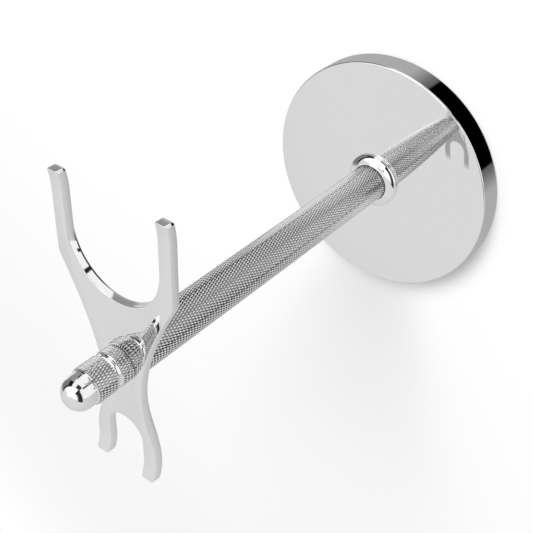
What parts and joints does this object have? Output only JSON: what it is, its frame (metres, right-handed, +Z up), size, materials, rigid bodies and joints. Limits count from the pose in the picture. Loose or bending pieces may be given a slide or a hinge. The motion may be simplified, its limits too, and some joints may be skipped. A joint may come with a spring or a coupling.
{
  "type": "shaving brush and razor stand",
  "caption": "Chrome shaving stand: heavy round base, knurled post, and a flat plate with a wide brush fork and a narrow razor fork, clamped by a knurled finial knob.",
  "frame": {"origin": "centre of the pad's underside, on the post's axis, where the stand rests on its surface", "axes": "+Z up along the post; -Y towards the wide brush fork, +Y towards the narrow razor fork"},
  "size_m": [0.072, 0.0825, 0.1329],
  "materials": {
    "base_disc": "mirror polished chrome plate",
    "base_pad": "matt black non-slip foam rubber",
    "base_screw": "zinc-plated steel",
    "base_spring_washer": "zinc-plated steel",
    "ferrule": "mirror polished chrome plate",
    "post": "fine diamond knurl, chrome plated",
    "fork_plate": "mirror polished chrome plate",
    "knob_washer": "natural white nylon",
    "knob_stud": "zinc-plated steel thread",
    "knob_grip": "diamond knurled bands and a polished groove, chrome plated",
    "finial_cap": "mirror polished chrome plate"
  },
  "bodies": {
    "stand": {"base_disc": "base_disc", "base_pad": "base_pad", "base_screw": "base_screw", "base_spring_washer": "base_spring_washer", "ferrule": "ferrule", "post": "post"},
    "fork": {"fork_plate": "fork_plate"},
    "knob_carrier": {"knob_washer": "knob_washer"},
    "knob": {"knob_stud": "knob_stud", "knob_grip": "knob_grip", "finial_cap": "finial_cap"}
  },
  "joints": [
    {"name": "fork_swivel", "type": "hinge", "parent": "stand", "child": "fork", "pos_m": [0, 0, 0.1146], "axis": [0, 0, 1], "continuous": true},
    {"name": "knob_lift", "type": "slide", "parent": "stand", "child": "knob_carrier", "axis": [0, 0, 1], "range_m": [0, 0.008]},
    {"name": "knob_turn", "type": "hinge", "parent": "knob_carrier", "child": "knob", "pos_m": [0, 0, 0.1166], "axis": [0, 0, 1], "range_deg": [0, 2880]}
  ],
  "couplings": [
    {"joint": "knob_lift", "follows": "knob_turn", "m_per_rad": 0.00015915}
  ]
}
